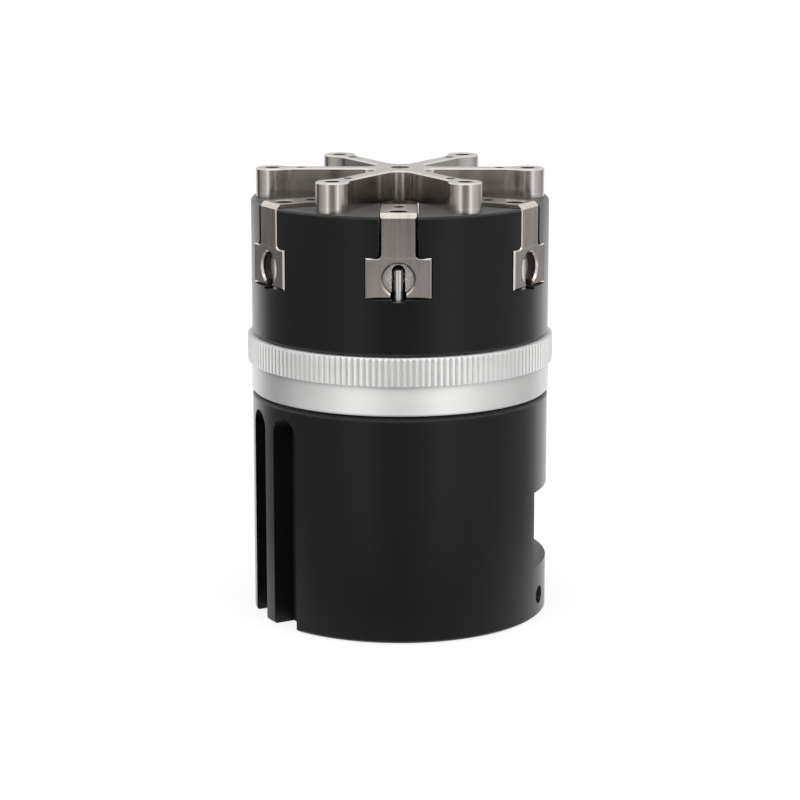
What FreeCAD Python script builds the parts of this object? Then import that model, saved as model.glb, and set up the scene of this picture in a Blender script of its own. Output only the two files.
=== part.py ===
import FreeCAD, Part
import math
import os

os.makedirs("parts", exist_ok=True)
V = FreeCAD.Vector

# Sizes are millimetres and degrees. Z runs up the gripper's axis from its mounting face.
# Angles count from +X. The front jaw points to -Y.

# Outer stack, from the mounting face up
body_dia = 85.0
base_height = 63.8
ring_gap_low = 1.0
band_height = 8.4
knurl_height = 7.8
ring_gap_top = 0.5
head_height = 38.3
edge_break = 0.5

# Knurled adjusting ring and the spigot that it turns on
spigot_dia = 72.0
band_dia = 85.5
knurl_dia = 87.6
knurl_teeth = 160
knurl_depth = 0.6
knurl_crest_share = 0.4
knurl_chamfer = 0.35
land_width = 3.2
ring_axial_play = 0.1

# Jaws and their T-slots
jaw_count = 6
first_jaw_angle = -90.0
jaw_face_r = 42.1
jaw_top_rise = 1.0
jaw_foot_width = 18.0
jaw_foot_height = 11.1
jaw_neck_width = 9.9
jaw_fillet = 1.0
jaw_edge_chamfer = 0.4
jaw_top_chamfer = 1.3
lip_thickness = 11.05
lip_round = 1.2
foot_side_gap = 0.3
neck_side_gap = 0.4
shoulder_gap = 0.15
floor_gap = 0.05
rim_relief_depth = 0.5
rim_relief_r = 36.5
pin_notch_depth = 1.1
pin_notch_width = 3.8
jaw_nose_r = 12.2
jaw_step_r = 23.0
jaw_step_depth = 4.3
jaw_ramp_low_r = 21.0
ramp_ratio = 0.75
nose_gap = 0.4

# Jaw keyhole with its spring and pin
keyhole_height = 5.2
keyhole_dia = 8.5
keyhole_depth = 3.95
keyhole_chamfer = 0.6
retainer_recess = 2.9
retainer_slot_width = 3.7
retainer_slot_rise = 3.7
spring_slot_width = 4.4
spring_slot_height = 9.4
spring_slot_end_r = 26.0
spring_pocket_depth = 2.5
spring_pocket_gap = 0.1
spring_coil_dia = 4.0
spring_wire_dia = 0.5
spring_turns = 8
spring_seat_gap = 0.05
spring_pin_dia = 2.5
spring_pin_r = 39.4
spring_pin_rise = 7.8
spring_pin_depth = 8.0
pin_chamfer = 0.3

# Holes for fingers, on the jaws and on the star
finger_screw_dia = 5.0
finger_screw_depth = 11.0
finger_screw_r = 37.0
finger_dowel_dia = 3.0
finger_dowel_depth = 8.0
finger_dowel_r = 28.6
thread_entry = 0.15

# Star-shaped ejector
arm_first_angle = 0.0
star_height = 8.4
star_lift_gap = 0.05
web_width = 4.4
hub_fillet = 3.9
boss_dia = 9.4
boss_r = 36.35
boss_fillet = 8.0
star_chamfer = 0.4
star_screw_dia = 4.2
star_dowel_dia = 2.5
star_dowel_r = 28.3
star_dowel_depth = 4.0
star_centre_dia = 5.2
guide_pin_count = 3
guide_pin_dia = 3.0
guide_pin_r = 24.0
guide_pin_grip = 3.0
guide_pin_length = 22.6
guide_bore_spare = 2.0

# Sensor grooves, port flat and side holes of the lower housing
groove_angle = 210.0
groove_width = 10.0
groove_rib_width = 4.9
groove_floor_r = 36.3
groove_top = 60.7
flat_r = 38.5
flat_low = 15.0
flat_height = 22.3
port_dia = 4.2
port_depth = 8.0
port_spacing_y = 18.0
port_spacing_z = 10.5
side_hole_dia = 5.2
side_hole_spacing = 27.2
side_hole_height = 6.05
side_hole_depth = 8.0

# Mounting holes and the screws and dowels that join the housings
mount_hole_dia = 5.0
mount_hole_depth = 12.0
mount_pcd = 60.0
mount_first_angle = 30.0
screw_count = 6
screw_dia = 4.0
screw_head_dia = 7.0
screw_head_height = 4.0
screw_pcd = 64.0
screw_seat = 20.0
screw_bite = 10.0
screw_socket_dia = 3.5
screw_hole_gap = 0.25
screw_head_gap = 0.3
dowel_dia = 3.0
dowel_length = 12.0
dowel_angles = (90.0, 210.0)

# Cylinders, pistons and rods
end_cover_dia = 44.0
end_cover_height = 6.0
end_cover_inset = 2.0
ejector_bore_dia = 40.0
ejector_chamber = 20.0
partition = 6.0
spread_bore_dia = 54.0
cover_dia = 57.0
cover_height = 8.0
ejector_piston_height = 8.0
ejector_piston_rest = 1.0
ejector_rod_dia = 10.0
ejector_spigot_dia = 6.0
ejector_nut_height = 4.0
ejector_nut_flats = 10.0
nut_pocket_gap = 0.6
stud_recess = 2.6
spread_piston_height = 10.0
spread_piston_rest = 0.6
spread_rod_dia = 20.0
spread_rod_bore_dia = 13.0
spread_spigot_dia = 17.0
bush_length = 12.0
spreader_hub_dia = 21.0
spreader_hub_height = 14.0
spreader_rib_width = 8.0
spreader_top_drop = 4.1
spreader_reach_gap = 0.5
wedge_gap = 0.2
spreader_nut_gap = 0.3
head_bore_dia = 45.0
head_centre_dia = 22.0

# Stop sleeve that the ring screws up and down
sleeve_bore_gap = 1.0
sleeve_height = 11.4
lug_count = 3
lug_first_angle = 30.0
lug_rest_height = 11.0
lug_width = 8.0
lug_height = 5.0
lug_gap = 0.2
sleeve_side_gap = 0.3
sleeve_rest_gap = 0.1

# Seals, magnets and the retaining ring
seal_width = 2.0
seal_depth = 1.8
seal_inset = 1.2
magnet_width = 2.5
magnet_depth = 2.5
clip_thickness = 1.2
clip_bite = 1.2
clip_width = 2.6
clip_opening = 30.0

# Fits, as radial clearances
press_gap = 0.01
running_gap = 0.05
ring_gap = 0.2
seal_gap = 0.02

# Levels and radii that follow from the sizes above
body_r = body_dia / 2
ring_low = base_height + ring_gap_low
knurl_low = ring_low + band_height
ring_top = knurl_low + knurl_height
head_low = ring_top + ring_gap_top
head_top = head_low + head_height
spigot_r = spigot_dia / 2
land_in_r = spigot_r + ring_gap
land_out_r = land_in_r + land_width

jaw_shoulder = head_top - lip_thickness - shoulder_gap
jaw_foot_low = jaw_shoulder - jaw_foot_height
jaw_top = head_top + jaw_top_rise
slot_floor = jaw_foot_low - floor_gap
keyhole_z = jaw_foot_low + keyhole_height
spring_end_r = spring_slot_end_r - spring_pocket_depth

chamber_low = end_cover_inset + end_cover_height
partition_low = chamber_low + ejector_chamber
partition_top = partition_low + partition
cover_low = base_height - cover_height
head_bore_r = head_bore_dia / 2
spread_piston_low = partition_top + spread_piston_rest
ejector_piston_low = chamber_low + ejector_piston_rest
ejector_shoulder = ejector_piston_low + ejector_piston_height

spreader_top = jaw_shoulder - spreader_top_drop
lug_low = base_height + lug_rest_height
sleeve_top = lug_low + sleeve_height
spreader_low = sleeve_top + sleeve_rest_gap
spreader_hub_top = spreader_low + spreader_hub_height
star_low = head_top + star_lift_gap
star_top = head_top + star_height

jaw_angles = [first_jaw_angle + i * 360.0 / jaw_count for i in range(jaw_count)]
arm_angles = [arm_first_angle + i * 360.0 / jaw_count for i in range(jaw_count)]
screw_angles = [arm_first_angle + i * 360.0 / screw_count for i in range(screw_count)]
mount_angles = [mount_first_angle + i * 360.0 / jaw_count for i in range(jaw_count)]
guide_angles = [arm_first_angle + i * 360.0 / guide_pin_count for i in range(guide_pin_count)]
lug_angles = [lug_first_angle + i * 360.0 / lug_count for i in range(lug_count)]


def cylinder(radius, low, high, x=0.0, y=0.0):
    return Part.makeCylinder(radius, high - low, V(x, y, low))


def tube(outer, inner, low, high):
    return cylinder(outer, low, high).cut(cylinder(inner, low, high))


def bar(x0, x1, width, low, high):
    """Block from x0 to x1, centred across Y."""
    return Part.makeBox(x1 - x0, width, high - low, V(x0, -width / 2, low))


def bore_x(radius, x0, x1, z, y=0.0):
    return Part.makeCylinder(radius, x1 - x0, V(x0, y, z), V(1, 0, 0))


def turned(profile):
    """Solid of revolution from a list of radius and height pairs."""
    points = [V(r, 0, z) for r, z in profile]
    face = Part.Face(Part.makePolygon(points + points[:1]))
    return face.revolve(V(0, 0, 0), V(0, 0, 1), 360)


def at_angle(shape, angle):
    turned_copy = shape.copy()
    turned_copy.rotate(V(0, 0, 0), V(0, 0, 1), angle)
    return turned_copy


def around(shape, angles):
    return [at_angle(shape, angle) for angle in angles]


def prism_y(outline, width):
    """Outline of x and z pairs, pushed to equal depth on both sides of the XZ plane."""
    points = [V(x, -width / 2, z) for x, z in outline]
    return Part.Face(Part.makePolygon(points + points[:1])).extrude(V(0, width, 0))


def tapped(radius, depth, x, top):
    """Hole from above with the small cone that leads a thread in."""
    lead = Part.makeCone(radius, radius + thread_entry, thread_entry, V(x, 0, top - thread_entry))
    return cylinder(radius, top - depth, top, x).fuse(lead)


def tee(half_foot, low, shoulder, half_neck, top, fillet, x0, x1):
    """T section with hollow corners between neck and shoulders, pushed along X."""
    inset = fillet * (1 - math.sqrt(0.5))
    right = [
        V(x0, half_foot, shoulder),
        V(x0, half_neck + fillet, shoulder),
        V(x0, half_neck + inset, shoulder + inset),
        V(x0, half_neck, shoulder + fillet),
        V(x0, half_neck, top),
    ]
    left = [V(p.x, -p.y, p.z) for p in reversed(right)]
    foot_right = V(x0, half_foot, low)
    foot_left = V(x0, -half_foot, low)
    edges = [
        Part.makeLine(foot_left, foot_right),
        Part.makeLine(foot_right, right[0]),
        Part.makeLine(right[0], right[1]),
        Part.Arc(right[1], right[2], right[3]).toShape(),
        Part.makeLine(right[3], right[4]),
        Part.makeLine(right[4], left[0]),
        Part.makeLine(left[0], left[1]),
        Part.Arc(left[1], left[2], left[3]).toShape(),
        Part.makeLine(left[3], left[4]),
        Part.makeLine(left[4], foot_left),
    ]
    return Part.Face(Part.Wire(edges)).extrude(V(x1 - x0, 0, 0))


def hexagon(flats, low, high):
    corner = Part.Vertex(V(flats / math.sqrt(3), 0, low))
    points = [at_angle(corner, 60 * i).Point for i in range(6)]
    return Part.Face(Part.makePolygon(points + points[:1])).extrude(V(0, 0, high - low))


def write(name, *solids):
    shape = solids[0] if len(solids) == 1 else Part.makeCompound(list(solids))
    shape.exportStep("parts/" + name + ".step")


def lower_housing():
    """Turned block with both cylinders, bored from each end round a middle wall."""
    block = turned([
        (0, 0),
        (body_r - edge_break, 0),
        (body_r, edge_break),
        (body_r, base_height - edge_break),
        (body_r - edge_break, base_height),
        (land_out_r, base_height),
        (land_out_r, ring_low - ring_axial_play),
        (land_in_r, ring_low - ring_axial_play),
        (land_in_r, base_height),
        (0, base_height),
    ])
    clip_low = end_cover_inset - clip_thickness - running_gap
    rod_r = ejector_rod_dia / 2
    seal_low = partition_low + (partition - seal_width) / 2
    cuts = [
        cylinder(end_cover_dia / 2, 0, chamber_low),
        cylinder(end_cover_dia / 2 + clip_bite, clip_low, end_cover_inset),
        cylinder(ejector_bore_dia / 2, chamber_low, partition_low),
        cylinder(rod_r + running_gap, partition_low, partition_top),
        cylinder(rod_r + seal_depth, seal_low, seal_low + seal_width),
        cylinder(spread_bore_dia / 2, partition_top, cover_low),
        cylinder(cover_dia / 2, cover_low, base_height),
        bar(flat_r, 2 * body_r, 2 * body_r, flat_low, flat_low + flat_height),
    ]
    half_rib = groove_rib_width / 2
    round_r = groove_width / 2
    for side in (-1, 1):
        middle = side * (half_rib + round_r)
        groove = bar(groove_floor_r, 2 * body_r, groove_width, 0, groove_top - round_r)
        groove.translate(V(0, middle, 0))
        crown = bore_x(round_r, groove_floor_r, 2 * body_r, groove_top - round_r, middle)
        cuts += around(groove.fuse(crown), [groove_angle])
        side_y = side * side_hole_spacing / 2
        side_x = math.sqrt(body_r ** 2 - side_y ** 2)
        cuts.append(bore_x(side_hole_dia / 2, side_x - side_hole_depth, body_r, side_hole_height, side_y))
        for level in (-1, 1):
            port_z = flat_low + flat_height / 2 + level * port_spacing_z / 2
            port_y = side * port_spacing_y / 2
            cuts.append(bore_x(port_dia / 2, flat_r - port_depth, flat_r, port_z, port_y))
    mount_hole = cylinder(mount_hole_dia / 2, 0, mount_hole_depth, mount_pcd / 2)
    cuts += around(mount_hole, mount_angles)
    shank = cylinder(screw_dia / 2 + screw_hole_gap, screw_seat, base_height, screw_pcd / 2)
    sink = cylinder(screw_head_dia / 2 + screw_head_gap, 0, screw_seat, screw_pcd / 2)
    cuts += around(shank.fuse(sink), screw_angles)
    dowel_low = base_height - dowel_length / 2
    dowel_hole = cylinder(dowel_dia / 2 + press_gap, dowel_low, base_height, screw_pcd / 2)
    cuts += around(dowel_hole, dowel_angles)
    return block.cut(cuts)


def upper_housing():
    """Head with six T-slots on a spigot that carries the adjusting ring."""
    block = turned([
        (0, base_height),
        (spigot_r, base_height),
        (spigot_r, head_low - ring_gap_top + ring_axial_play),
        (land_out_r, head_low - ring_gap_top + ring_axial_play),
        (land_out_r, head_low),
        (body_r - edge_break, head_low),
        (body_r, head_low + edge_break),
        (body_r, head_top - edge_break),
        (body_r - edge_break, head_top),
        (0, head_top),
    ])
    foot_half = jaw_foot_width / 2 + foot_side_gap
    neck_half = jaw_neck_width / 2 + neck_side_gap
    roof = jaw_shoulder + shoulder_gap
    slot_start = head_centre_dia / 4
    slot = tee(foot_half, slot_floor, roof, neck_half, head_top + 1, lip_round, slot_start, 2 * body_r)
    relief = bar(rim_relief_r, 2 * body_r, 2 * foot_half, jaw_foot_low - rim_relief_depth, slot_floor)
    notch_low = jaw_foot_low - pin_notch_depth
    notch = bar(rim_relief_r, 2 * body_r, pin_notch_width, notch_low, slot_floor)
    pin_hole = cylinder(spring_pin_dia / 2 + press_gap, notch_low - spring_pin_depth, notch_low, spring_pin_r)
    tap = cylinder(screw_dia / 2, base_height, base_height + screw_bite, screw_pcd / 2)
    dowel_top = base_height + dowel_length / 2
    dowel_hole = cylinder(dowel_dia / 2 + press_gap, base_height, dowel_top, screw_pcd / 2)
    guide_low = star_low + guide_pin_grip - guide_pin_length - guide_bore_spare
    guide_bore = cylinder(guide_pin_dia / 2 + running_gap, guide_low, head_top, guide_pin_r)
    lug_slot = bar(0, spigot_r + 1, lug_width + 2 * lug_gap, base_height, lug_low + lug_height + lug_gap)
    cuts = [
        cylinder(head_bore_r, base_height, slot_floor),
        cylinder(head_centre_dia / 2, slot_floor, head_top),
    ]
    cuts += around(slot, jaw_angles)
    cuts += around(relief, jaw_angles)
    cuts += around(notch, jaw_angles)
    cuts += around(pin_hole, jaw_angles)
    cuts += around(tap, screw_angles)
    cuts += around(dowel_hole, dowel_angles)
    cuts += around(guide_bore, guide_angles)
    cuts += around(lug_slot, lug_angles)
    return block.cut(cuts)


def adjusting_ring():
    """Ring with a plain band below a flange of straight knurling."""
    tip_r = knurl_dia / 2
    root_r = tip_r - knurl_depth
    pitch = 2 * math.pi / knurl_teeth
    crest = pitch * knurl_crest_share
    points = []
    for i in range(knurl_teeth):
        for r, angle in ((tip_r, -crest / 2), (tip_r, crest / 2), (root_r, pitch / 2)):
            turn = i * pitch + angle
            points.append(V(r * math.cos(turn), r * math.sin(turn), knurl_low))
    gear = Part.Face(Part.makePolygon(points + points[:1])).extrude(V(0, 0, knurl_height))
    envelope = turned([
        (0, knurl_low),
        (tip_r - knurl_chamfer, knurl_low),
        (tip_r, knurl_low + knurl_chamfer),
        (tip_r, ring_top - knurl_chamfer),
        (tip_r - knurl_chamfer, ring_top),
        (0, ring_top),
    ])
    band_r = band_dia / 2
    band = turned([
        (0, ring_low),
        (band_r - edge_break, ring_low),
        (band_r, ring_low + edge_break),
        (band_r, knurl_low),
        (0, knurl_low),
    ])
    bore = cylinder(land_in_r, ring_low, ring_top)
    return gear.common(envelope).fuse(band).cut(bore)


def jaw():
    """Jaw along +X: T-section slide with a wedge face inside and a keyhole outside."""
    half_foot = jaw_foot_width / 2
    half_neck = jaw_neck_width / 2
    body = tee(half_foot, jaw_foot_low, jaw_shoulder, half_neck, jaw_top, jaw_fillet, 0, jaw_face_r)
    rim = [e for e in body.Edges if abs(e.BoundBox.XMin - jaw_face_r) < 1e-6]
    body = body.makeChamfer(jaw_edge_chamfer, rim)
    nose_z = jaw_foot_low + (jaw_ramp_low_r - jaw_nose_r) / ramp_ratio
    behind = prism_y([
        (-1, jaw_foot_low - 1),
        (jaw_ramp_low_r + ramp_ratio, jaw_foot_low - 1),
        (jaw_nose_r, nose_z),
        (jaw_nose_r, jaw_top + 1),
        (-1, jaw_top + 1),
    ], 4 * half_foot)
    top_bevel = prism_y([
        (jaw_face_r - jaw_top_chamfer, jaw_top),
        (jaw_face_r + 1, jaw_top - jaw_top_chamfer - 1),
        (jaw_face_r + 1, jaw_top + 1),
        (jaw_face_r - jaw_top_chamfer, jaw_top + 1),
    ], 4 * half_foot)
    half_step = math.radians(180.0 / jaw_count)
    apex = nose_gap / math.sin(half_step)
    flare = 2 * body_r * math.tan(half_step)
    sector_points = [
        V(apex, 0, jaw_foot_low - 1),
        V(apex + 2 * body_r, flare, jaw_foot_low - 1),
        V(apex + 2 * body_r, -flare, jaw_foot_low - 1),
    ]
    sector_face = Part.Face(Part.makePolygon(sector_points + sector_points[:1]))
    sector = sector_face.extrude(V(0, 0, jaw_top - jaw_foot_low + 2))
    hole_r = keyhole_dia / 2
    slot_r = spring_slot_width / 2
    slot_top = jaw_foot_low + spring_slot_height
    mouth = V(jaw_face_r - keyhole_chamfer, 0, keyhole_z)
    pocket_r = spring_coil_dia / 2 + spring_pocket_gap
    cuts = [
        behind,
        top_bevel,
        bore_x(hole_r, jaw_face_r - keyhole_depth, jaw_face_r, keyhole_z),
        Part.makeCone(hole_r, hole_r + keyhole_chamfer, keyhole_chamfer, mouth, V(1, 0, 0)),
        bar(spring_slot_end_r + slot_r, jaw_face_r, spring_slot_width, jaw_foot_low, slot_top),
        cylinder(slot_r, jaw_foot_low, slot_top, spring_slot_end_r + slot_r),
        bore_x(pocket_r, spring_end_r, spring_slot_end_r + slot_r, keyhole_z),
        tapped(finger_screw_dia / 2, finger_screw_depth, finger_screw_r, jaw_top),
        cylinder(finger_dowel_dia / 2, jaw_top - finger_dowel_depth, jaw_top, finger_dowel_r),
        bar(0, jaw_step_r, 2 * jaw_foot_width, jaw_top - jaw_step_depth, jaw_top + 1),
    ]
    return body.common(sector).cut(cuts)


def spring_retainer():
    """Slotted disc pressed into the keyhole: it keeps the spring in the jaw and lets the pin through."""
    low = jaw_face_r - keyhole_depth
    high = jaw_face_r - retainer_recess
    half_slot = retainer_slot_width / 2
    slot_round = keyhole_z + retainer_slot_rise - half_slot
    disc = bore_x(keyhole_dia / 2 - press_gap, low, high, keyhole_z)
    return disc.cut([
        bar(low - 1, high + 1, retainer_slot_width, jaw_foot_low - 1, slot_round),
        bore_x(half_slot, low - 1, high + 1, slot_round),
    ])


def spring_pin():
    """Upright pin in the slot floor that the jaw spring pushes against."""
    foot = jaw_foot_low - pin_notch_depth - spring_pin_depth
    top = jaw_foot_low + spring_pin_rise
    r = spring_pin_dia / 2
    pin = turned([
        (0, foot),
        (r, foot),
        (r, top - pin_chamfer),
        (r - pin_chamfer, top),
        (0, top),
    ])
    pin.translate(V(spring_pin_r, 0, 0))
    return pin


def jaw_spring():
    """Coil spring along +X, from the end of the jaw's pocket to the pin."""
    low = spring_end_r + spring_seat_gap
    high = spring_pin_r - spring_pin_dia / 2 - spring_seat_gap
    wire_r = spring_wire_dia / 2
    coil_r = spring_coil_dia / 2 - wire_r
    length = high - low - spring_wire_dia
    helix = Part.makeHelix(length / spring_turns, length, coil_r)
    section = Part.Wire(Part.makeCircle(wire_r, V(coil_r, 0, 0), V(0, 1, 0)))
    coil = Part.Wire(helix).makePipeShell([section], True, True)
    coil.translate(V(0, 0, wire_r))
    coil.rotate(V(0, 0, 0), V(0, 1, 0), 90)
    coil.translate(V(low, 0, keyhole_z))
    return coil


def star_outline(level):
    """Six round-ended arms joined by hollow corners, as one closed wire."""
    half_web = web_width / 2
    half_step = math.pi / jaw_count
    corner_r = half_web / math.sin(half_step)
    centre_r = corner_r + hub_fillet / math.sin(half_step)
    hub_x = centre_r * math.cos(half_step)
    hub_mid = V(corner_r + hub_fillet * (1 / math.sin(half_step) - 1), 0, level)
    hub_start = at_angle(Part.Vertex(hub_mid), -math.degrees(half_step)).Point
    hub_end = at_angle(Part.Vertex(hub_mid), math.degrees(half_step)).Point
    lean = math.radians((90 - math.degrees(half_step)) / 2)
    hub_turn = V(hub_x - hub_fillet * math.sin(lean), 0, level)
    hub_turn.y = half_web + hub_fillet * (1 - math.cos(lean))
    tip_r = boss_dia / 2
    reach = tip_r + boss_fillet
    drop = half_web + boss_fillet
    back = math.sqrt(reach ** 2 - drop ** 2)
    neck = V(boss_r - back, half_web, level)
    cheek = V(boss_r - back * tip_r / reach, drop * tip_r / reach, level)
    blend = math.atan2(drop, back) / 2 + math.pi / 4
    throat = V(neck.x + boss_fillet * math.cos(blend), drop - boss_fillet * math.sin(blend), level)
    web = V(hub_x, half_web, level)
    tip = V(boss_r + tip_r, 0, level)

    def below(p):
        return V(p.x, -p.y, p.z)

    arm = [
        Part.Arc(hub_start, below(hub_turn), below(web)).toShape(),
        Part.makeLine(below(web), below(neck)),
        Part.Arc(below(neck), below(throat), below(cheek)).toShape(),
        Part.Arc(below(cheek), tip, cheek).toShape(),
        Part.Arc(cheek, throat, neck).toShape(),
        Part.makeLine(neck, web),
        Part.Arc(web, hub_turn, hub_end).toShape(),
    ]
    return Part.Wire([at_angle(edge, angle) for angle in arm_angles for edge in arm])


def ejector_star():
    """Star plate that lies flat on the head between the jaws and lifts off it."""
    plate = Part.Face(star_outline(star_low)).extrude(V(0, 0, star_top - star_low))
    rim = [e for e in plate.Edges if e.BoundBox.ZMin > star_top - 1e-6]
    plate = plate.makeChamfer(star_chamfer, rim)
    cuts = [cylinder(star_centre_dia / 2, star_low, star_top)]
    cuts += around(tapped(star_screw_dia / 2, star_height, boss_r, star_top), arm_angles)
    dowel = cylinder(star_dowel_dia / 2, star_top - star_dowel_depth, star_top, star_dowel_r)
    cuts += around(dowel, arm_angles)
    pin_hole = cylinder(guide_pin_dia / 2 + press_gap, star_low, star_low + guide_pin_grip, guide_pin_r)
    cuts += around(pin_hole, guide_angles)
    return plate.cut(cuts)


def guide_pin():
    top = star_low + guide_pin_grip
    return cylinder(guide_pin_dia / 2, top - guide_pin_length, top, guide_pin_r)


def ejector_rod():
    """Slim rod through the whole gripper, with a stud in the star and a spigot in its piston."""
    rod_r = ejector_rod_dia / 2
    spigot_r_low = ejector_spigot_dia / 2
    stud_r = star_centre_dia / 2 - running_gap
    return turned([
        (0, ejector_piston_low - ejector_nut_height),
        (spigot_r_low, ejector_piston_low - ejector_nut_height),
        (spigot_r_low, ejector_shoulder),
        (rod_r, ejector_shoulder),
        (rod_r, star_low),
        (stud_r, star_low),
        (stud_r, star_top - stud_recess),
        (0, star_top - stud_recess),
    ])


def grooved_piston(bore_r, low, height, hole_r):
    """Piston disc with one groove for its seal and one for its magnet."""
    outer = bore_r - running_gap
    disc = tube(outer, hole_r, low, low + height)
    seal_low = low + seal_inset
    magnet_low = low + height - seal_inset - magnet_width
    return disc.cut([
        tube(bore_r, outer - seal_depth, seal_low, seal_low + seal_width),
        tube(bore_r, outer - magnet_depth, magnet_low, magnet_low + magnet_width),
    ])


def piston_seal(bore_r, low):
    outer = bore_r - running_gap
    seal_low = low + seal_inset
    inner = outer - seal_depth + seal_gap
    return tube(bore_r - seal_gap, inner, seal_low + seal_gap, seal_low + seal_width - seal_gap)


def piston_magnet(bore_r, low, height):
    outer = bore_r - running_gap
    magnet_low = low + height - seal_inset - magnet_width
    inner = outer - magnet_depth + seal_gap
    return tube(outer, inner, magnet_low + seal_gap, magnet_low + magnet_width - seal_gap)


def spread_piston():
    """Large piston on a hollow rod whose stepped end carries the spreader."""
    bore_r = spread_bore_dia / 2
    disc = grooved_piston(bore_r, spread_piston_low, spread_piston_height, spread_rod_bore_dia / 2)
    stem_low = spread_piston_low + spread_piston_height
    rod = tube(spread_rod_dia / 2, spread_rod_bore_dia / 2, stem_low, spreader_low)
    spigot = tube(spread_spigot_dia / 2, spread_rod_bore_dia / 2, spreader_low, spreader_top)
    return disc.fuse([rod, spigot]).removeSplitter()


def spreader():
    """Hub with six ribs whose sloping outer faces push the jaws out."""
    hub_r = spreader_hub_dia / 2
    reach = head_bore_r - spreader_reach_gap
    low_r = jaw_ramp_low_r - wedge_gap
    bend_z = jaw_foot_low - (reach - low_r) / ramp_ratio
    top_r = low_r - (spreader_top - jaw_foot_low) * ramp_ratio
    rib = prism_y([
        (0, spreader_low),
        (reach, spreader_low),
        (reach, bend_z),
        (top_r, spreader_top),
        (0, spreader_top),
    ], spreader_rib_width)
    hub = cylinder(hub_r, spreader_low, spreader_top)
    seat = cylinder(hub_r + spreader_nut_gap, spreader_hub_top, spreader_top)
    bore = cylinder(spread_spigot_dia / 2 + press_gap, spreader_low, spreader_hub_top)
    return hub.multiFuse(around(rib, jaw_angles)).cut([seat, bore])


def stop_sleeve():
    """Sleeve with three lugs in the ring's thread, on which the spreader comes to rest."""
    outer = head_bore_r - sleeve_side_gap
    inner = spread_rod_dia / 2 + sleeve_bore_gap
    body = tube(outer, inner, lug_low, sleeve_top)
    reach = land_in_r - seal_gap
    lug = bar(inner + 1, reach, lug_width, lug_low, lug_low + lug_height)
    rounded = lug.common(cylinder(reach, lug_low, lug_low + lug_height))
    return body.multiFuse(around(rounded, lug_angles))


def cylinder_cover():
    """Disc that closes the spreading cylinder round its rod."""
    outer = cover_dia / 2 - press_gap
    rod_r = spread_rod_dia / 2
    disc = tube(outer, rod_r + running_gap, cover_low, base_height)
    seal_low = cover_low + (cover_height - seal_width) / 2
    return disc.cut([
        tube(cover_dia, outer - seal_depth, seal_low, seal_low + seal_width),
        cylinder(rod_r + seal_depth, seal_low, seal_low + seal_width),
    ])


def end_cover():
    """Disc that closes the ejector cylinder, hollowed for the piston nut."""
    outer = end_cover_dia / 2 - press_gap
    pocket_r = ejector_nut_flats / math.sqrt(3) + nut_pocket_gap
    pocket_low = ejector_piston_low - ejector_nut_height - nut_pocket_gap
    disc = cylinder(outer, end_cover_inset, chamber_low).cut(cylinder(pocket_r, pocket_low, chamber_low))
    seal_low = end_cover_inset + (end_cover_height - seal_width) / 2
    return disc.cut(tube(end_cover_dia, outer - seal_depth, seal_low, seal_low + seal_width))


def outer_seal(outer_dia, low, height):
    """O-ring in the rim of a cover."""
    outer = outer_dia / 2 - press_gap
    seal_low = low + (height - seal_width) / 2
    inner = outer - seal_depth + seal_gap
    return tube(outer, inner, seal_low + seal_gap, seal_low + seal_width - seal_gap)


def rod_seal(rod_r, low, height):
    seal_low = low + (height - seal_width) / 2
    outer = rod_r + seal_depth - seal_gap
    return tube(outer, rod_r + seal_gap, seal_low + seal_gap, seal_low + seal_width - seal_gap)


def retaining_ring():
    """Split spring ring with an eye at each end."""
    outer = end_cover_dia / 2 + clip_bite - running_gap
    low = end_cover_inset - clip_thickness
    eye_angle = clip_opening / 2 + 5
    eye_r = outer - clip_width - clip_width / 2
    band = tube(outer, outer - clip_width, low, end_cover_inset)
    eyes = around(cylinder(clip_width, low, end_cover_inset, eye_r), [eye_angle, -eye_angle])
    holes = around(cylinder(clip_width / 2, low, end_cover_inset, eye_r), [eye_angle, -eye_angle])
    half = math.radians(clip_opening / 2)
    mouth = [V(0, 0, low), V(body_r, body_r * math.tan(half), low), V(body_r, -body_r * math.tan(half), low)]
    gap = Part.Face(Part.makePolygon(mouth + mouth[:1])).extrude(V(0, 0, clip_thickness))
    return band.multiFuse(eyes).cut(holes + [gap])


def head_screw():
    """Long socket screw from the mounting face up into the spigot."""
    r = screw_pcd / 2
    head_low_z = screw_seat - screw_head_height
    head = cylinder(screw_head_dia / 2, head_low_z, screw_seat, r)
    shank = cylinder(screw_dia / 2 - press_gap, screw_seat, base_height + screw_bite - 1, r)
    socket = hexagon(screw_socket_dia, head_low_z, head_low_z + screw_head_height / 2)
    socket.translate(V(r, 0, 0))
    return head.fuse(shank).cut(socket)


def ejector_nut():
    low = ejector_piston_low - ejector_nut_height
    nut = hexagon(ejector_nut_flats, low, ejector_piston_low)
    return nut.cut(cylinder(ejector_spigot_dia / 2 + press_gap, low, ejector_piston_low))


def spread_parts():
    bore_r = spread_bore_dia / 2
    write("spread_piston", spread_piston())
    write("spread_piston_seal", piston_seal(bore_r, spread_piston_low))
    write("spread_piston_magnet", piston_magnet(bore_r, spread_piston_low, spread_piston_height))
    write("spreader", spreader())
    nut_bore = spread_spigot_dia / 2 + press_gap
    write("spreader_nut", tube(spreader_hub_dia / 2, nut_bore, spreader_hub_top, spreader_top))
    bush_outer = spread_rod_bore_dia / 2 - press_gap
    bush_inner = ejector_rod_dia / 2 + running_gap
    write("rod_bush", tube(bush_outer, bush_inner, spreader_top - bush_length, spreader_top))


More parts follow.
